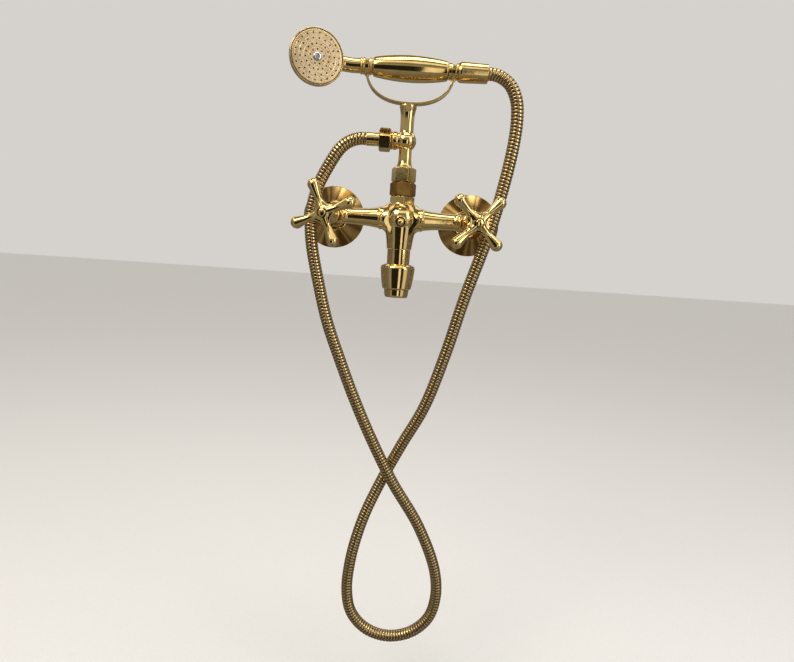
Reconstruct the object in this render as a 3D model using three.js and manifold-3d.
// Wall mounted bath faucet: two-valve mixer with a tub spout, a riser with a cradle,
// a telephone-style hand shower and its metal hose.
// Millimetres. +Z is up and +X is right for someone facing the wall. The wall is the plane Y = 0
// and the faucet stands out from it towards -Y. The origin is on the wall, midway between the inlets.
import * as THREE from 'three';
import { mergeVertices } from 'three/addons/utils/BufferGeometryUtils.js';
import Module from 'manifold-3d';

const wasm = await Module();
wasm.setup();

// ---------------------------------------------------------------- driving dimensions
const gap = 0.3;              // clearance between pieces that touch or slide
const round = 16;             // facets on most turned pieces
const fine = 20;              // facets on the largest turned pieces
const small = 10;             // facets on small turned pieces

const reach = 52;             // wall to the axis of the mixer body
const wallSpacing = 162;      // centres of the two wall outlets, as the unions are set
const inletSpacing = 150;     // centres of the two inlets of the mixer body

const flangeDiameter = 73;
const flangeDepth = 22.5;
const flangeRim = 2.4;        // thickness of the cylindrical rim against the wall
const flangeWall = 1.8;

const unionBore = 13;         // waterway of the S-union
const unionTube = 19.6;       // outside of the S-union tube
const wallTail = 15;          // thread that enters the wall outlet
const unionShoulder = 36.8;   // shoulder of the S-union that the wall outlet is tightened against
const unionCollar = 26.2;     // collar that the union nut pulls on
const unionNutFlats = 30.5;
const unionNutLength = 14;
const nutLip = 3;             // thickness of a union nut's closed end

const armEnd = 17.6;          // diameter of an arm where it meets its valve
const armRoot = 23.4;         // diameter of an arm where it leaves the body
const waterway = 11;          // bore along the arms
const ballDiameter = 35;      // ball at the middle of the body
const ballRise = 1;           // ball centre above the arms' axis
const ballForward = 3.5;      // ball centre in front of the arms' axis
const valveDiameter = 24;     // valve housing at each arm's end
const valveFace = 13;         // valve centre to the face that the bonnet seats on
const valveBore = 16.6;       // bore that takes the cartridge
const handleSplay = 12;       // degrees that each handle axis turns outwards
const handleDrop = 1;         // degrees that each handle axis tips down

const bonnetDiameter = 20.6;
const bonnetLength = 13.5;
const spindleDiameter = 6.4;
const handleHeight = 37;      // valve centre to the middle of the cross handle
const handleSpan = 76;        // tip to tip
const handleTip = 12.4;       // ball end of an arm
const handleNeck = 7;         // thinnest part of an arm
const hubThickness = 9.6;
const hubSkirt = 17.4;
const indexButton = 9;

const spoutTop = -33.5;       // joint between the body and the spout neck
const spoutBore = 17;
const spoutNeckDiameter = 25.6;
const spoutNeckLength = 18.2;
const bellDiameter = 38.6;
const bellMouth = 32.4;
const bellLength = 28;
const aeratorDiameter = 28;
const aeratorLength = 9;

const bossTop = 24.3;         // top face of the boss that carries the riser
const bossFlats = 25.4;
const riserBore = 16.8;
const adapterFlats = 25.2;
const adapterLength = 15;
const riserNutFlats = 24;
const riserNutLength = 15.6;
const riserNeck = 14.4;
const teeHeight = 84.5;       // axis of the hose outlet above the arms' axis
const teeBall = 22.6;
const stemDiameter = 15;
const stemTop = 122.3;          // top of the stem, where the cradle band crosses

const handsetHeight = 160.5;    // axis of the hand shower above the arms' axis
const cradleSpan = 94;        // centres of the two forks
const bandThickness = 2.2;
const bandWidth = 8;
const forkWidth = 4.4;
const forkWall = 2.2;

const outletDiameter = 19.8;  // G1/2 hose thread
const outletEnd = 24;         // tip of the hose thread from the riser axis
const hoseNutFlats = 22.4;
const hoseNutLength = 12.8;
const ferruleDiameter = 14.6;
const ferruleEnd = 44;
const hoseDiameter = 14;

const gripLength = 82;
const gripDiameter = 28;
const gripEndDiameter = 20.2;
const collarLength = 13.4;
const collarBead = 18;
const collarGroove = 15;
const tailCollarLength = 10;
const coneLength = 32.4;
const coneLarge = 22;
const coneSmall = 20.4;
const neckDiameter = 15.6;
const headDiameter = 57.8;
const headDepth = 20;
const headWall = 1.5;
const headYaw = 22;           // degrees that the spray face turns towards the grip
const headTip = 1;           // degrees that the spray face tips down
const headOffset = [-97.6, -27, -1.6];   // centre of the spray face from the middle of the grip
const plateThickness = 2;
const sprayHole = 1.5;

// ---------------------------------------------------------------- materials
const finish = (color, roughness) => new THREE.MeshStandardMaterial({ color, roughness, metalness: 1 });
const polished = '#c9993f';
const satin = '#a97c3f';

// ---------------------------------------------------------------- helpers
const vec = (x, y, z) => new THREE.Vector3(x, y, z);
const radians = THREE.MathUtils.degToRad;
const axisY = vec(0, 1, 0);

const mouldOf = (geometry) => {
  // Closed geometry as a solid whose faces point outwards.
  const bare = geometry.index ? geometry.toNonIndexed() : geometry.clone();
  bare.deleteAttribute('normal');
  bare.deleteAttribute('uv');
  const merged = mergeVertices(bare, 1e-4);
  const corners = Array.from(merged.index.array);
  const places = merged.attributes.position.array;
  const triangles = [];
  for (let i = 0; i < corners.length; i += 3) {
    const [a, b, c] = corners.slice(i, i + 3);
    if (a !== b && b !== c && c !== a) triangles.push(a, b, c);
  }
  const volume = signedVolume(places, triangles);
  if (volume < 0) triangles.reverse();
  const mesh = { numProp: 3, vertProperties: new Float32Array(places), triVerts: new Uint32Array(triangles) };
  return new wasm.Manifold(new wasm.Mesh(mesh));
};

const signedVolume = (places, triangles) => {
  let sum = 0;
  const corner = (i) => vec(places[3 * i], places[3 * i + 1], places[3 * i + 2]);
  for (let i = 0; i < triangles.length; i += 3) {
    const [a, b, c] = [0, 1, 2].map((k) => corner(triangles[i + k]));
    sum += a.dot(b.cross(c)) / 6;
  }
  return sum;
};

const geometryOf = (solid) => {
  const mesh = solid.getMesh();
  const places = new Float32Array(mesh.numVert * 3);
  for (let i = 0; i < mesh.numVert; i += 1) {
    for (let k = 0; k < 3; k += 1) places[3 * i + k] = mesh.vertProperties[mesh.numProp * i + k];
  }
  const geometry = new THREE.BufferGeometry();
  geometry.setAttribute('position', new THREE.BufferAttribute(places, 3));
  geometry.setIndex(new THREE.BufferAttribute(new Uint32Array(mesh.triVerts), 1));
  geometry.computeVertexNormals();
  return geometry;
};

// Area inside a profile, positive where it runs counterclockwise.
const profileArea = (profile) => profile.reduce((sum, [radius, height], i) => {
  const [nextRadius, nextHeight] = profile[(i + 1) % profile.length];
  return sum + (radius * nextHeight - nextRadius * height) / 2;
}, 0);

// A turned solid about +Y from [radius, height] pairs that start and end on the axis.
const turned = (profile, facets = round) => {
  const ordered = profileArea(profile) < 0 ? [...profile].reverse() : profile;
  const points = ordered.map(([radius, height]) => new THREE.Vector2(radius, height));
  return new THREE.LatheGeometry(points, facets);
};

// A turned ring: the [radius, height] pairs close on themselves.
const ring = (profile, facets = round) => turned([...profile, profile[0]], facets);

const rod = (radius, from, to, facets = round) => turned(
  [[0, from], [radius, from], [radius, to], [0, to]], facets);

const sleeve = (outer, inner, from, to, facets = round) => ring(
  [[outer, from], [outer, to], [inner, to], [inner, from]], facets);

// Points of a circular arc in a profile, angles in degrees from +radius towards +height.
const arc = (radius, height, size, from, to, steps) => {
  const points = [];
  for (let i = 0; i <= steps; i += 1) {
    const angle = radians(from + (to - from) * i / steps);
    points.push([radius + size * Math.cos(angle), height + size * Math.sin(angle)]);
  }
  return points;
};

// Matrix that takes local +Y to the given direction and the local origin to a point.
const towards = (direction, point = vec(0, 0, 0)) => {
  const turn = new THREE.Quaternion().setFromUnitVectors(axisY, direction.clone().normalize());
  return new THREE.Matrix4().compose(point, turn, vec(1, 1, 1));
};

// The same with local +Z kept as near to world +Z as the direction allows.
const upright = (direction, point) => {
  const along = direction.clone().normalize();
  const rise = vec(0, 0, 1).projectOnPlane(along).normalize();
  const across = along.clone().cross(rise);
  return new THREE.Matrix4().makeBasis(across, along, rise).setPosition(point);
};

const placed = (geometry, matrix) => geometry.clone().applyMatrix4(matrix);

const joined = (...geometries) => geometries.map(mouldOf).reduce((whole, piece) => whole.add(piece));

const cut = (solid, ...geometries) => geometries.reduce(
  (rest, tool) => rest.subtract(mouldOf(tool)), solid);

const group = new THREE.Group();

const addPiece = (name, geometry, matrix, color = polished, roughness = 0.12, parent = group) => {
  const mesh = new THREE.Mesh(geometry, finish(color, roughness));
  mesh.name = name;
  mesh.applyMatrix4(matrix);
  parent.add(mesh);
  return mesh;
};

const still = new THREE.Matrix4();

// Hexagonal bar about +Y with both ends chamfered. One corner starts at +X before the turn.
const hexBar = (flats, from, to, turn = 0, chamfer = 1.1) => {
  const corner = flats / Math.sqrt(3);
  const shape = new THREE.Shape();
  for (let i = 0; i < 6; i += 1) {
    const angle = radians(60 * i + turn);
    const point = [corner * Math.cos(angle), corner * Math.sin(angle)];
    if (i === 0) shape.moveTo(...point);
    else shape.lineTo(...point);
  }
  const bar = new THREE.ExtrudeGeometry(shape, { depth: to - from, bevelEnabled: false });
  bar.rotateX(-Math.PI / 2).translate(0, from, 0);
  const edge = flats / 2;
  const cone = turned([
    [0, from], [edge - 0.2, from], [corner + 0.1, from + chamfer],
    [corner + 0.1, to - chamfer], [edge - 0.2, to], [0, to]], fine);
  return mouldOf(bar).intersect(mouldOf(cone));
};

// ---------------------------------------------------------------- wall side
const outwards = vec(0, -1, 0);
const sides = [['left', -1], ['right', 1]];
const nutBack = reach - valveDiameter / 2 - unionNutLength - 1.4;   // wall to the nut's closed end
const collarBack = nutBack + nutLip + gap;
const collarFront = collarBack + 3;
const washerThickness = 2;
const spigotBack = collarFront + gap + washerThickness + gap;
const spigotRadius = unionCollar / 2 + 0.1;
const flangeMouth = unionTube / 2 + 3.2 + (wallSpacing - inletSpacing) / 4;

const wallFlange = () => {
  const edge = flangeDiameter / 2;
  const lip = flangeMouth + flangeWall;
  const bulge = [(edge + lip) / 2 - 1.5, flangeRim + (flangeDepth - flangeRim) * 0.44];
  return ring([
    [edge - 3.4, 0], [edge, 0], [edge, flangeRim], [bulge[0] + 1, bulge[1]], [lip, flangeDepth - 1],
    [lip - 0.6, flangeDepth], [flangeMouth, flangeDepth], [flangeMouth, flangeDepth - 2.4],
    [bulge[0] - 0.6, bulge[1] - flangeWall], [edge - 3.4, flangeRim - 1]], fine);
};

const sUnion = (side) => {
  // Eccentric tube: a tail in the wall, a crank, and a collar held by the union nut.
  const wallX = side * wallSpacing / 2;
  const inletX = side * inletSpacing / 2;
  const crankStart = 8;
  const crankEnd = nutBack - 1;
  const curve = new THREE.CubicBezierCurve3(
    vec(wallX, -crankStart, 0), vec(wallX, -(crankStart + 5), 0),
    vec(inletX, -(crankEnd - 5), 0), vec(inletX, -crankEnd, 0));
  const crank = (radius) => {
    const section = new THREE.Shape().absarc(0, 0, radius, 0, 2 * Math.PI);
    return new THREE.ExtrudeGeometry(section, { steps: 4, curveSegments: 6, extrudePath: curve });
  };
  const atWall = towards(outwards, vec(wallX, 0, 0));
  const atInlet = towards(outwards, vec(inletX, 0, 0));
  const outside = joined(
    crank(unionTube / 2),
    placed(rod(unionTube / 2 + 0.2, -wallTail, crankStart + 0.5, 12), atWall),
    placed(rod(unionShoulder / 2, 2, 7), atWall),
    placed(rod(unionTube / 2, crankEnd - 0.5, collarFront, 12), atInlet),
    placed(rod(unionCollar / 2, collarBack, collarFront), atInlet));
  const inside = joined(
    crank(unionBore / 2),
    placed(rod(unionBore / 2, -wallTail - 1, crankStart + 0.5, 12), atWall),
    placed(rod(unionBore / 2, crankEnd - 0.5, collarFront + 1, 12), atInlet));
  return geometryOf(outside.subtract(inside));
};

const unionNut = () => geometryOf(cut(
  hexBar(unionNutFlats, nutBack, nutBack + unionNutLength, 0),
  rod(unionTube / 2 + gap, nutBack - 1, nutBack + nutLip + 1),
  rod(unionCollar / 2 + gap + 0.1, nutBack + nutLip, nutBack + unionNutLength + 1)));

for (const [name, side] of sides) {
  const atWall = towards(outwards, vec(side * wallSpacing / 2, 0, 0));
  const atInlet = towards(outwards, vec(side * inletSpacing / 2, 0, 0));
  addPiece(`${name}_wall_flange`, wallFlange(), atWall, satin, 0.34);
  addPiece(`${name}_s_union`, sUnion(side), still, satin, 0.4);
  addPiece(`${name}_union_nut`, unionNut(), atInlet);
  const washerBack = collarFront + gap;
  const washer = sleeve(
    unionCollar / 2 - 0.4, unionBore / 2 + 0.5, washerBack, washerBack + washerThickness);
  addPiece(`${name}_inlet_washer`, washer, atInlet, '#3a3733', 0.8);
}

// ---------------------------------------------------------------- mixer body
const bodyCentre = vec(0, -reach, 0);
const up = vec(0, 0, 1);
const valveAxis = (side) => {
  const splay = radians(handleSplay);
  const drop = radians(handleDrop);
  return vec(side * Math.sin(splay) * Math.cos(drop), -Math.cos(splay) * Math.cos(drop), -Math.sin(drop));
};
const valveCentre = (side) => vec(side * inletSpacing / 2, -reach, 0);
const diverterTip = 15;       // degrees that the diverter axis tips down
const diverterAxis = vec(0, -Math.cos(radians(diverterTip)), -Math.sin(radians(diverterTip)));
const ballCentre = vec(0, -reach - ballForward, ballRise);
const diverterBore = 12.6;
const diverterDepth = 6;      // bottom of the diverter bore from the ball centre

const mixerBody = () => {
  const ballRadius = ballDiameter / 2;
  const valveRadius = valveDiameter / 2;
  const armReach = inletSpacing / 2;
  const rootX = ballRadius + 5;
  const beadX = armReach - valveRadius - 0.5;
  const column = turned([
    [0, spoutTop], [spoutNeckDiameter / 2 + 1.1, spoutTop],
    [spoutNeckDiameter / 2 + 1.7, spoutTop * 0.75], [ballRadius - 1.6, spoutTop * 0.5],
    [ballRadius + 0.4, spoutTop * 0.26], [ballRadius, 0], [ballRadius - 1.8, 8],
    [bossFlats / 2 - 0.4, bossTop - 9], [bossFlats / 2 - 0.4, bossTop - 6], [0, bossTop - 6]], round);
  let body = joined(
    placed(new THREE.SphereGeometry(ballRadius, 20, 12), new THREE.Matrix4().setPosition(ballCentre)),
    placed(column, towards(up, bodyCentre)));
  const boss = hexBar(bossFlats, bossTop - 10, bossTop, 8, 0.8);
  const bossMatrix = towards(up, bodyCentre);
  body = body.add(mouldOf(placed(geometryOf(boss), bossMatrix)));
  for (const [, side] of sides) {
    const along = towards(vec(side, 0, 0), bodyCentre);
    const arm = turned([
      [0, 6], [ballRadius - 1.5, 6], [armRoot / 2 + 3.4, ballRadius - 4.5], [armRoot / 2 + 1.2, ballRadius],
      [armRoot / 2, rootX], [armEnd / 2 + 1.4, rootX + 12], [armEnd / 2, beadX - 2],
      [armEnd / 2 + 0.9, beadX - 1.4], [armEnd / 2 + 0.9, beadX + 0.4], [armEnd / 2 - 0.2, armReach],
      [0, armReach]]);
    const atValve = towards(valveAxis(side), valveCentre(side));
    const housing = turned([
      ...arc(0, 0, valveRadius, -90, 0, 4), [valveRadius, valveFace - 1], [valveRadius - 0.8, valveFace],
      [0, valveFace]]);
    const atInlet = towards(outwards, vec(side * armReach, 0, 0));
    body = body.add(joined(
      placed(arm, along), placed(housing, atValve),
      placed(rod(spigotRadius, spigotBack, spigotBack + 7), atInlet),
      placed(rod(valveRadius - 1, spigotBack + 6, reach), atInlet)));
  }
  for (const [, side] of sides) {
    const along = towards(vec(side, 0, 0), bodyCentre);
    const atValve = towards(valveAxis(side), valveCentre(side));
    const atInlet = towards(outwards, vec(side * armReach, 0, 0));
    body = cut(body,
      placed(rod(waterway / 2, 0, armReach, small), along),
      placed(rod(valveBore / 2, -3, valveFace + 1), atValve),
      placed(rod(unionBore / 2 + 1, spigotBack - 1, reach, small), atInlet));
  }
  return geometryOf(cut(body,
    placed(rod(spoutBore / 2, spoutTop - 1, -8), towards(up, bodyCentre)),
    placed(rod(riserBore / 2, 4, bossTop + 1), towards(up, bodyCentre)),
    placed(rod(waterway / 2, -9, 5, small), towards(up, bodyCentre)),
    placed(rod(diverterBore / 2, diverterDepth, ballRadius + 4), towards(diverterAxis, ballCentre))));
};
addPiece('mixer_body', mixerBody(), still);

// ---------------------------------------------------------------- valves and cross handles
const cartridgeBack = -2;
const bonnetBack = valveFace + gap;
const bonnetFront = bonnetBack + bonnetLength;
const hubBack = handleHeight - hubThickness / 2;
const hubFront = handleHeight + hubThickness / 2;
const skirtBack = bonnetFront + gap + 0.5;
const webBack = handleHeight - 1;      // bottom of the web that the screw clamps
const webFront = handleHeight + 1;
const buttonSeat = hubFront - 3.2;

const cartridge = () => sleeve(
  valveBore / 2 - gap, spindleDiameter / 2 + gap, cartridgeBack, valveFace - gap);

const bonnet = () => {
  const radius = bonnetDiameter / 2;
  const bore = spindleDiameter / 2 + gap;
  return ring([
    [bore, bonnetBack], [radius + 0.6, bonnetBack], [radius + 0.6, bonnetBack + 2.4],
    [radius - 0.6, bonnetBack + 3.2], [radius - 1, bonnetFront - 2.4], [radius - 2.4, bonnetFront],
    [bore, bonnetFront]]);
};

const spindle = () => ring([
  [2, webBack - gap - 8], [0.6, webBack - gap - 9], [0.6, cartridgeBack + 4],
  [spindleDiameter / 2, cartridgeBack + 4], [spindleDiameter / 2, webBack - gap],
  [2, webBack - gap]], small);

const crossHandle = () => {
  const tip = handleTip / 2;
  const tipAt = handleSpan / 2 - tip;
  const neck = handleNeck / 2;
  const arm = turned([
    [0, 2], [neck + 2.2, 2], [neck + 0.9, tipAt * 0.36], [neck, tipAt * 0.48], [neck + 0.5, tipAt * 0.64],
    [tip - 0.9, tipAt * 0.84], ...arc(0, tipAt, tip, 0, 90, 3)], small);
  const star = new THREE.Shape();
  const reachOut = 11.5;
  const halfWidth = neck - 0.2;
  const waist = 5.6;
  for (let i = 0; i < 4; i += 1) {
    const turn = i * Math.PI / 2;
    const at = (x, y) => [x * Math.cos(turn) - y * Math.sin(turn), x * Math.sin(turn) + y * Math.cos(turn)];
    if (i === 0) star.moveTo(...at(reachOut, -halfWidth));
    star.lineTo(...at(reachOut, halfWidth));
    star.quadraticCurveTo(...at(waist, waist), ...at(halfWidth, reachOut));
  }
  const plate = new THREE.ExtrudeGeometry(star, {
    depth: hubThickness - 2.4, curveSegments: 4, bevelEnabled: true, bevelThickness: 1.2, bevelSize: 1.4,
    bevelOffset: -0.6, bevelSegments: 1 });
  plate.rotateX(-Math.PI / 2).translate(0, hubBack + 1.2, 0);
  const skirt = turned([
    [0, skirtBack], [hubSkirt / 2, skirtBack], [hubSkirt / 2, skirtBack + 2],
    [hubSkirt / 2 - 1.2, hubBack + 1], [hubSkirt / 2 - 1.6, hubFront - 1.4],
    [hubSkirt / 2 - 3, hubFront + 0.4], [0, hubFront + 0.4]]);
  let handle = joined(plate, skirt);
  for (let i = 0; i < 4; i += 1) {
    const turn = i * Math.PI / 2;
    const along = towards(vec(Math.cos(turn), 0, Math.sin(turn)), vec(0, handleHeight, 0));
    handle = handle.add(mouldOf(placed(arm, along)));
  }
  return geometryOf(cut(handle,
    rod(spindleDiameter / 2 + gap, skirtBack - 1, webBack, small),
    rod(bonnetDiameter / 2 - 2.6, skirtBack - 1, skirtBack + 1.6),
    rod(2, webBack - 1, webFront + 1, small),
    rod(indexButton / 2 + gap, webFront, hubFront + 2, small)));
};

const handleScrew = () => turned([
  [0, webBack - 8], [1.6, webBack - 8], [1.6, webFront + gap], [3.2, webFront + gap], [3.2, webFront + 1.4],
  [2.4, webFront + 1.8], [0, webFront + 1.8]], small);

const button = () => turned([
  [0, webFront + 2.2], [indexButton / 2, webFront + 2.2], [indexButton / 2, buttonSeat + 2.6],
  ...arc(0, buttonSeat + 1, indexButton / 2, 40, 90, 3)], small);

const handleTurns = { hot: 22, cold: 45 };   // degrees that each cross is left turned from upright
for (const [name, side] of [['hot', -1], ['cold', 1]]) {
  const valve = new THREE.Group();
  valve.applyMatrix4(upright(valveAxis(side), valveCentre(side)));
  group.add(valve);
  const turn = new THREE.Matrix4().makeRotationY(radians(handleTurns[name]));
  addPiece(`${name}_cartridge`, cartridge(), still, '#d8d4c8', 0.5, valve);
  addPiece(`${name}_bonnet`, bonnet(), still, polished, 0.12, valve);
  addPiece(`${name}_spindle`, spindle(), turn, satin, 0.4, valve);
  addPiece(`${name}_cross_handle`, crossHandle(), turn, polished, 0.12, valve);
  addPiece(`${name}_handle_screw`, handleScrew(), turn, satin, 0.4, valve);
  addPiece(`${name}_index_button`, button(), turn, polished, 0.12, valve);
}

// ---------------------------------------------------------------- diverter
const diverterCollar = 13;
const diverterStem = 3.8;
const diverterKnob = 7.2;
const collarTop = ballDiameter / 2 + 2.6;
const atDiverter = towards(diverterAxis, ballCentre);
addPiece('diverter_cartridge', ring([
  [diverterStem / 2 + gap, diverterDepth + gap], [diverterBore / 2 - gap, diverterDepth + gap],
  [diverterBore / 2 - gap, ballDiameter / 2 + gap], [diverterCollar / 2, ballDiameter / 2 + gap],
  [diverterCollar / 2, collarTop - 0.8], [diverterCollar / 2 - 0.8, collarTop],
  [diverterStem / 2 + gap, collarTop]]), atDiverter);
addPiece('diverter_stem', rod(diverterStem / 2, diverterDepth + 2, collarTop + 3, small),
  atDiverter, satin, 0.3);
addPiece('diverter_knob', geometryOf(cut(
  mouldOf(turned([
    [0, collarTop + gap], [diverterKnob / 2 - 0.6, collarTop + gap], [diverterKnob / 2, collarTop + 1],
    [diverterKnob / 2, collarTop + 4.4], ...arc(0, collarTop + 3.4, diverterKnob / 2, 34, 90, 4)])),
  rod(diverterStem / 2 + gap, collarTop - 1, collarTop + 3 + gap, small))), atDiverter);

// ---------------------------------------------------------------- spout
const atBody = towards(up, bodyCentre);
const neckTop = spoutTop - gap;
const neckBottom = neckTop - spoutNeckLength;
const bellTop = neckBottom + 1.5;
const bellBottom = bellTop - bellLength;
const neckSide = spoutNeckDiameter / 2;
const bellTopBore = neckSide - 1.6;
const spigotDrop = 6;         // spigot of the neck inside the bell
addPiece('spout_neck', ring([
  [spoutBore / 2, neckTop], [neckSide, neckTop], [neckSide - 0.2, neckBottom + 1.5 + gap],
  [bellTopBore - gap, neckBottom + 1.5 + gap], [bellTopBore - gap, neckBottom - spigotDrop],
  [spoutBore / 2, neckBottom - spigotDrop]]), atBody);
addPiece('spout_bell', ring([
  [bellTopBore, bellTop], [neckSide + 1.6, bellTop], [bellDiameter / 2 - 1.2, bellTop - 2.4],
  [bellDiameter / 2, bellTop - 5], [bellDiameter / 2 - 0.6, bellTop - bellLength * 0.5],
  [bellMouth / 2, bellBottom + 1.2], [bellMouth / 2 - 0.9, bellBottom], [aeratorDiameter / 2 - 3, bellBottom],
  [aeratorDiameter / 2 - 3, bellBottom + 9], [bellTopBore, bellTop - 9]], fine), atBody);
const aeratorTop = bellBottom - gap;
const aeratorBottom = aeratorTop - aeratorLength;
const aeratorThread = aeratorDiameter / 2 - 3 - gap;
addPiece('aerator_ring', ring([
  [aeratorThread - 1.6, aeratorTop + 5], [aeratorThread, aeratorTop + 5], [aeratorThread, aeratorTop],
  [aeratorDiameter / 2, aeratorTop], [aeratorDiameter / 2 - 0.4, aeratorBottom + 3],
  [aeratorDiameter / 2 - 1.6, aeratorBottom], [aeratorThread - 1.6, aeratorBottom]]), atBody);
const insertRadius = aeratorThread - 1.6 - gap;
addPiece('aerator_insert', sleeve(insertRadius, 3, aeratorBottom + 1, aeratorTop + 3, small), atBody,
  '#e8e6df', 0.5);

// ---------------------------------------------------------------- riser
const adapterBottom = bossTop + gap;
const adapterTop = adapterBottom + adapterLength;
const riserNutBottom = adapterTop + gap;
const riserNutTop = riserNutBottom + riserNutLength;
const adapterThread = 19;
const adapterTip = adapterTop + 8;
const riserCollarBottom = adapterTip + gap + 1.6 + gap;
const riserCollarTop = riserNutTop - nutLip - gap;
addPiece('riser_adapter', geometryOf(cut(
  hexBar(adapterFlats, adapterBottom, adapterTop, -26, 1.4)
    .add(mouldOf(rod(riserBore / 2 - gap, adapterBottom - 12, adapterBottom + 1)))
    .add(mouldOf(rod(adapterThread / 2, adapterTop - 1, adapterTip))),
  rod(waterway / 2, adapterBottom - 13, adapterTip + 1, small))), atBody, '#94713a', 0.3);
addPiece('riser_union_nut', geometryOf(cut(
  hexBar(riserNutFlats, riserNutBottom, riserNutTop, -40, 1.4),
  rod(adapterThread / 2 + gap, riserNutBottom - 1, riserNutTop - nutLip),
  rod(riserNeck / 2 + gap, riserNutTop - nutLip - 1, riserNutTop + 1))), atBody);
addPiece('riser_washer', sleeve(
  adapterThread / 2 - 0.4, waterway / 2, adapterTip + gap, adapterTip + gap + 1.6), atBody, '#3a3733', 0.8);

const slotWidth = 5.2;
const slotDepth = 9;
const riserTee = () => {
  const neck = riserNeck / 2;
  const stem = stemDiameter / 2;
  const ballRadius = teeBall / 2;
  const flareBottom = riserNutTop + gap;
  const column = turned([
    [0, riserCollarBottom], [adapterThread / 2 - 0.4, riserCollarBottom],
    [adapterThread / 2 - 0.4, riserCollarTop], [neck, riserCollarTop], [neck, flareBottom],
    [neck + 2.2, flareBottom], [neck + 1.2, flareBottom + 2], [neck, flareBottom + 6],
    [neck, teeHeight - ballRadius + 1.4], ...arc(0, teeHeight, ballRadius, -50, 47, 8),
    [stem, teeHeight + ballRadius - 0.2], [stem - 0.1, stemTop - 16], [stem + 0.7, stemTop - 7],
    [stem + 2, stemTop - 2], [stem + 1.6, stemTop], [0, stemTop]]);
  const outlet = rod(outletDiameter / 2, 0, outletEnd);
  const toHose = towards(vec(-1, 0, 0), vec(0, 0, teeHeight).add(bodyCentre));
  const slot = new THREE.BoxGeometry(slotWidth, 40, slotDepth)
    .translate(0, -reach, stemTop - slotDepth / 2 + 1);
  const pinHole = placed(rod(1.6, -20, 20, small), towards(vec(1, 0, 0), vec(0, -reach, stemTop - 4.5)));
  return geometryOf(cut(
    joined(placed(column, atBody), placed(outlet, toHose)),
    placed(rod(4.4, riserCollarBottom - 1, teeHeight, small), atBody),
    placed(rod(4.4, 0, outletEnd + 1, small), toHose), slot, pinHole));
};
addPiece('riser_tee', riserTee(), still);

// ---------------------------------------------------------------- cradle
const handsetCentre = vec(0, -reach, handsetHeight);
const forkInner = collarGroove / 2 + gap;
const forkOuter = forkInner + forkWall;
const cradleYoke = () => {
  // Half-ellipse band whose ends run into the two forks, with a tang in the stem's slot.
  const deep = handsetHeight - stemTop - gap;
  const band = new THREE.Shape();
  const steps = 20;
  const start = Math.asin((collarBead / 2 + gap + 0.2) / deep);
  const wide = (cradleSpan / 2 + bandThickness / 2) / Math.cos(start);
  const along = (i, inset) => {
    const angle = start + (Math.PI - 2 * start) * i / steps;
    return [(wide - inset) * Math.cos(angle), -(deep - inset) * Math.sin(angle)];
  };
  for (let i = 0; i <= steps; i += 1) {
    if (i === 0) band.moveTo(...along(i, 0));
    else band.lineTo(...along(i, 0));
  }
  for (let i = steps; i >= 0; i -= 1) band.lineTo(...along(i, bandThickness));
  const strip = new THREE.ExtrudeGeometry(band, { depth: bandWidth, bevelEnabled: false });
  strip.translate(0, 0, -bandWidth / 2).rotateX(Math.PI / 2);
  const stand = new THREE.Matrix4().setPosition(handsetCentre);
  const fork = new THREE.Shape();
  const prong = 3;
  fork.moveTo(forkOuter, prong);
  fork.absarc(0, 0, forkOuter, 0, -Math.PI, true);
  fork.lineTo(-forkOuter, prong);
  fork.lineTo(-forkOuter + 0.8, prong + 0.8);
  fork.lineTo(-forkInner, prong);
  fork.lineTo(-forkInner, 0);
  fork.absarc(0, 0, forkInner, -Math.PI, 0, false);
  fork.lineTo(forkInner, prong);
  fork.lineTo(forkOuter - 0.8, prong + 0.8);
  const seat = new THREE.ExtrudeGeometry(fork, { depth: forkWidth, curveSegments: 6, bevelEnabled: false });
  seat.translate(0, 0, -forkWidth / 2).rotateX(Math.PI / 2).rotateZ(Math.PI / 2);
  const tangTop = -deep + bandThickness / 2;
  const tangLength = slotDepth - 1 - gap;
  const tang = new THREE.BoxGeometry(slotWidth - 2 * gap, bandWidth, tangLength + bandThickness / 2)
    .translate(0, 0, tangTop - (tangLength + bandThickness / 2) / 2);
  const hole = placed(rod(1.6, -20, 20, small), towards(vec(1, 0, 0), vec(0, -reach, stemTop - 4.5)));
  const whole = joined(
    placed(strip, stand), placed(tang, stand),
    placed(seat, new THREE.Matrix4().setPosition(-cradleSpan / 2, -reach, handsetHeight)),
    placed(seat, new THREE.Matrix4().setPosition(cradleSpan / 2, -reach, handsetHeight)));
  return geometryOf(cut(whole, hole));
};
addPiece('cradle_yoke', cradleYoke(), still);
addPiece('cradle_pin', rod(1.6 - gap, -stemDiameter / 2 + 0.4, stemDiameter / 2 - 0.4, small),
  towards(vec(1, 0, 0), vec(0, -reach, stemTop - 4.5)), satin, 0.3);

// ---------------------------------------------------------------- hose and its fittings
const toHose = towards(vec(-1, 0, 0), vec(0, 0, teeHeight).add(bodyCentre));
const outletWasher = 1.4;
const hoseCollarStart = outletEnd + gap + outletWasher + gap;
const hoseCollarEnd = hoseCollarStart + 1.6;
const hoseNutEnd = hoseCollarEnd + gap + 1.8;
const hoseNutStart = hoseNutEnd - hoseNutLength;
const ferruleRadius = ferruleDiameter / 2;
addPiece('hose_nut', geometryOf(cut(
  hexBar(hoseNutFlats, hoseNutStart, hoseNutEnd, 40, 1.2),
  rod(outletDiameter / 2 + gap, hoseNutStart - 1, hoseCollarEnd + gap),
  rod(ferruleRadius + gap, hoseCollarEnd, hoseNutEnd + 1))), toHose);
addPiece('hose_washer', sleeve(
  outletDiameter / 2 - 0.3, 4.6, outletEnd + gap, outletEnd + gap + outletWasher), toHose, '#3a3733', 0.8);
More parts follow.
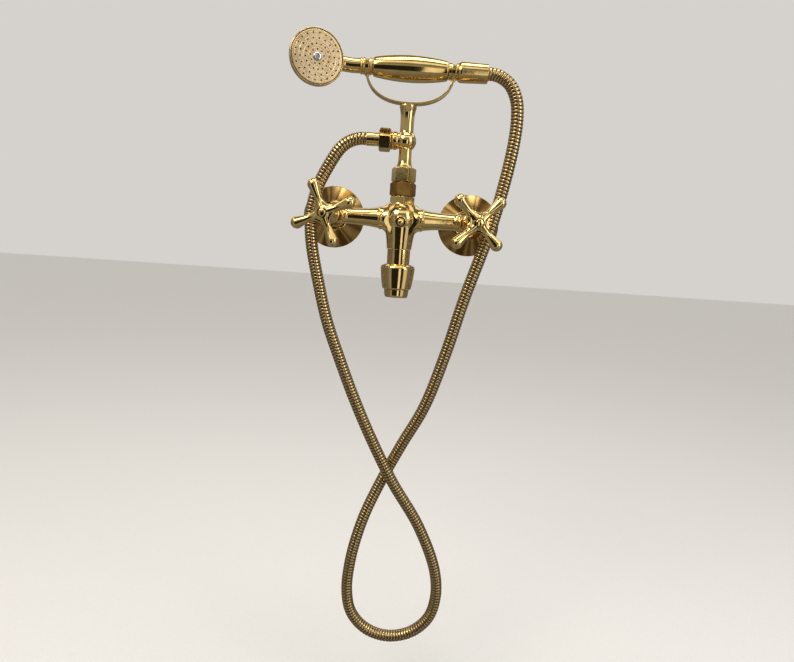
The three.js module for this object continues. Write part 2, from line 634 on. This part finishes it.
addPiece('hose_inlet_ferrule', ring([
  [4.6, hoseCollarStart], [outletDiameter / 2 - 0.3, hoseCollarStart],
  [outletDiameter / 2 - 0.3, hoseCollarEnd], [ferruleRadius, hoseCollarEnd],
  [ferruleRadius, ferruleEnd - 0.6], [ferruleRadius - 0.6, ferruleEnd],
  [4.6, ferruleEnd]]), toHose);

const coneStart = gripLength / 2 + tailCollarLength + 2 * gap;
const coneEnd = coneStart + coneLength;
const hoseStart = [-(ferruleEnd + gap), -reach, teeHeight];
const hoseFinish = [coneEnd + gap, -reach, handsetHeight];
// Route of the hose: from the ferrule down in a long loop that crosses itself, and up to the hand shower.
const hoseRoute = [
  hoseStart, [hoseStart[0] - 5, -reach, teeHeight], [-57, -52, 82.8], [-64.3, -51.8, 79.3],
  [-70.5, -51.5, 74.2], [-76, -51, 67.2], [-92, -48, 38], [-99.2, -46.5, 16], [-102, -45.5, -6],
  [-100, -44.5, -33], [-91, -42.5, -75], [-78, -41, -123], [-62, -39, -165], [-43, -36.5, -211],
  [-20, -34, -260], [10, -31, -316], [47, -28, -374], [71, -27, -431], [75, -26, -468],
  [67.4, -25, -498], [46.7, -24, -519],
  [18.5, -24, -526.5], [-9.7, -24, -519], [-30.4, -24, -498], [-38, -24, -469], [-35.5, -23, -424],
  [-23, -20, -371], [-3, -16, -321], [19, -20, -272], [43, -29, -220], [63, -37, -152], [79, -42, -86],
  [104, -47, 4], [118, -50.5, 82], [119.8, -51.7, 116], [117, -52, 136], [108.6, -52, 151.2],
  [97, -52, 158.8], [hoseFinish[0] + 5, -reach, handsetHeight], hoseFinish];
const hoseCurve = new THREE.CatmullRomCurve3(hoseRoute.map((point) => vec(...point)), false, 'centripetal');
const hoseSection = new THREE.Shape().absarc(0, 0, hoseDiameter / 2, 0, 2 * Math.PI);
addPiece('hose', new THREE.ExtrudeGeometry(hoseSection, {
  steps: 68, curveSegments: 5, extrudePath: hoseCurve }), still, satin, 0.35);

// ---------------------------------------------------------------- hand shower
const alongGrip = towards(vec(1, 0, 0), handsetCentre);
const gripHalf = gripLength / 2;
const coreRadius = 6;
const gripWall = 2.4;
const grip = () => {
  // Barrel-shaped shell, open at both ends round the core tube.
  const steps = 8;
  const barrel = (inset) => Array.from({ length: steps + 1 }, (_, i) => {
    const share = i / steps;
    const swell = (gripDiameter - gripEndDiameter) / 2 * Math.sin(Math.PI * share) ** 0.8;
    return [gripEndDiameter / 2 + swell - inset, (gripHalf - 1.2 - inset) * (2 * share - 1)];
  });
  return ring([
    [coreRadius + gap, -gripHalf], [gripEndDiameter / 2 - 1.4, -gripHalf], ...barrel(0),
    [gripEndDiameter / 2 - 1.4, gripHalf], [coreRadius + gap, gripHalf],
    [coreRadius + gap, gripHalf - gripWall - 1.2], ...barrel(gripWall).reverse(),
    [coreRadius + gap, -gripHalf + gripWall + 1.2]]);
};
addPiece('handset_grip', grip(), alongGrip);
addPiece('handset_core_tube', sleeve(coreRadius, coreRadius - 1.2, -gripHalf + gap, gripHalf - gap, small),
  alongGrip, satin, 0.4);

const forkAt = cradleSpan / 2;
const grooveHalf = forkWidth / 2 + gap;
const bead = collarBead / 2;
const groove = collarGroove / 2;
const frontStart = -(gripHalf + gap);
const frontEnd = frontStart - collarLength;
addPiece('handset_front_collar', ring([
  [5, frontEnd], [bead - 1.2, frontEnd], [bead, frontEnd + 1], [bead, frontEnd + 2],
  [bead - 1, frontEnd + 2.8], [bead, frontEnd + 3.6],
  [bead - 0.2, -forkAt - grooveHalf], [groove, -forkAt - grooveHalf],
  [groove, -forkAt + grooveHalf], [bead, -forkAt + grooveHalf], [bead - 0.8, frontStart], [5, frontStart]]),
  alongGrip);
const tailStart = gripHalf + gap;
const tailEnd = tailStart + tailCollarLength;
const tailThread = 8.2;
addPiece('handset_tail_collar', ring([
  [5, tailStart], [bead - 0.4, tailStart], [bead, forkAt - grooveHalf], [groove, forkAt - grooveHalf],
  [groove, forkAt + grooveHalf], [bead - 0.2, forkAt + grooveHalf], [bead - 0.2, tailEnd],
  [tailThread, tailEnd], [tailThread, tailEnd + 9], [5, tailEnd + 9]]), alongGrip);
const coneWasher = 1.6;
addPiece('handset_washer', sleeve(
  tailThread - 0.2, 5, tailEnd + 9 + gap, tailEnd + 9 + gap + coneWasher, small), alongGrip, '#3a3733', 0.8);
addPiece('handset_cone_nut', ring([
  [tailThread + gap, coneStart], [coneLarge / 2 - 1.6, coneStart], [coneLarge / 2, coneStart + 2.6],
  [coneSmall / 2, coneEnd - 0.6], [coneSmall / 2 - 0.8, coneEnd], [5, coneEnd],
  [5, tailEnd + 9 + 2 * gap + coneWasher],
  [tailThread + gap, tailEnd + 9 + 2 * gap + coneWasher]]), alongGrip);

// ---------------------------------------------------------------- shower head
const faceCentre = handsetCentre.clone().add(vec(...headOffset));
const faceAxis = vec(
  Math.sin(radians(headYaw)) * Math.cos(radians(headTip)),
  -Math.cos(radians(headYaw)) * Math.cos(radians(headTip)),
  -Math.sin(radians(headTip)));
const atFace = towards(faceAxis, faceCentre);
const headRadius = headDiameter / 2;
const plateRadius = headRadius - headWall - 2 * gap;
const ledge = -(plateThickness + 1.4 + 2 * gap);

const showerHead = () => {
  const neckEnd = frontEnd - gap;
  const tube = (radius, longer) => {
    // The bore is a little longer than the neck at both ends.
    const neckCurve = new THREE.CatmullRomCurve3([
      vec(neckEnd + longer, 0, 0), vec(neckEnd - 9, 0, 0), vec(neckEnd - 20, -1.6, 0.6),
      vec(headOffset[0] + 12 - longer, -9 - longer, headOffset[2] + 1)]
      .map((point) => point.add(handsetCentre)));
    const section = new THREE.Shape().absarc(0, 0, radius, 0, 2 * Math.PI);
    return new THREE.ExtrudeGeometry(section, { steps: 5, curveSegments: 7, extrudePath: neckCurve });
  };
  const shell = (inset) => [
    [headRadius - inset, -5], [headRadius - 2.2 - inset, -8.5],
    [headRadius * 0.72 - inset, -headDepth * 0.66],
    [headRadius * 0.46 - inset * 0.7, -headDepth * 0.86 + inset * 0.4],
    [headRadius * 0.22, -headDepth + inset], [0, -headDepth + inset]];
  const outside = turned([[0, 0], [headRadius - 0.5, 0], [headRadius, -0.6], ...shell(0)], fine);
  const recess = headRadius - headWall;
  const inside = turned([
    [0, 1], [recess, 1], [recess, ledge], [recess - 2.6, ledge], ...shell(headWall + 0.9)], fine);
  const post = rod(4.6, -headDepth + 0.6, -(plateThickness + gap), small);
  const shellSolid = joined(placed(outside, atFace), tube(neckDiameter / 2, 0));
  const hollow = cut(shellSolid, placed(inside, atFace), tube(neckDiameter / 2 - 2.6, 1.3));
  return geometryOf(cut(
    hollow.add(mouldOf(placed(post, atFace))),
    placed(rod(1.9, -headDepth + 4, 1, small), atFace)));
};
addPiece('shower_head_shell', showerHead(), still);

const sprayPlate = () => {
  const disc = new THREE.Shape().absarc(0, 0, plateRadius, 0, 2 * Math.PI);
  const bore = new THREE.Path().absarc(0, 0, 2.1, 0, 2 * Math.PI);
  disc.holes.push(bore);
  const rings = [[9, 0.27], [16, 0.47], [18, 0.68], [22, 0.87]];
  for (const [count, share] of rings) {
    for (let i = 0; i < count; i += 1) {
      const angle = 2 * Math.PI * (i + 0.3) / count;
      const hole = new THREE.Path();
      const middle = [share * plateRadius * Math.cos(angle), share * plateRadius * Math.sin(angle)];
      for (let k = 0; k < 4; k += 1) {
        const corner = angle + 2 * Math.PI * k / 4;
        const half = sprayHole / 2;
        const point = [middle[0] + half * Math.cos(corner), middle[1] + half * Math.sin(corner)];
        if (k === 0) hole.moveTo(...point);
        else hole.lineTo(...point);
      }
      hole.closePath();
      disc.holes.push(hole);
    }
  }
  const plate = new THREE.ExtrudeGeometry(disc, {
    depth: plateThickness, curveSegments: 12, bevelEnabled: false });
  return geometryOf(mouldOf(plate.rotateX(-Math.PI / 2).translate(0, -plateThickness, 0)));
};
addPiece('spray_plate', sprayPlate(), atFace, '#d8b57c', 0.38);
addPiece('spray_plate_screw', turned([
  [0, -9], [1.7, -9], [1.7, gap], [4.4, gap], [4.4, 1], [3.4, 1.9], [1.6, 2], [1.2, 0.8], [0, 0.8]], small),
  atFace, '#d9d9d6', 0.18);
addPiece('spray_plate_seal', sleeve(
  plateRadius, plateRadius - 2.2, ledge + gap, -(plateThickness + gap), fine), atFace, '#3a3733', 0.8);

export default group;
